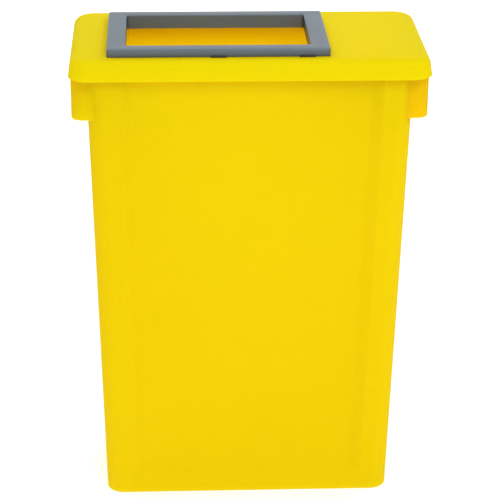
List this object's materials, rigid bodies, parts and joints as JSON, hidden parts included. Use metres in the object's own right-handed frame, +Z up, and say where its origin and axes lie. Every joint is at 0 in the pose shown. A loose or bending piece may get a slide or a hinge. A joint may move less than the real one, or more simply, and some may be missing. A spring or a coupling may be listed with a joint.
{
  "type": "slim waste bin with aperture lid",
  "caption": "Tall slim tapered waste bin with finger grips at both ends, a lift-off lid and a rectangular aperture frame set off-centre in the lid.",
  "frame": {"origin": "on the floor, under the middle of the whole bin", "axes": "+Z up, +X along the long side towards the plain end of the lid, -Y out of the front panel"},
  "size_m": [0.52, 0.264, 0.722],
  "materials": {
    "yellow_body": "moulded polypropylene, satin",
    "yellow_lid": "moulded polypropylene, satin",
    "grey_frame": "moulded polypropylene, fine satin"
  },
  "bodies": {
    "bin": {"bin_body": "yellow_body"},
    "lid": {"lid": "yellow_lid"},
    "frame": {"aperture_frame": "grey_frame"}
  },
  "joints": [
    {"name": "lid_lift", "type": "slide", "parent": "bin", "child": "lid", "axis": [0, 0, 1], "range_m": [0, 0.25]},
    {"name": "frame_unclip", "type": "slide", "parent": "lid", "child": "frame", "axis": [0, 0, 1], "range_m": [0, 0.08]}
  ]
}
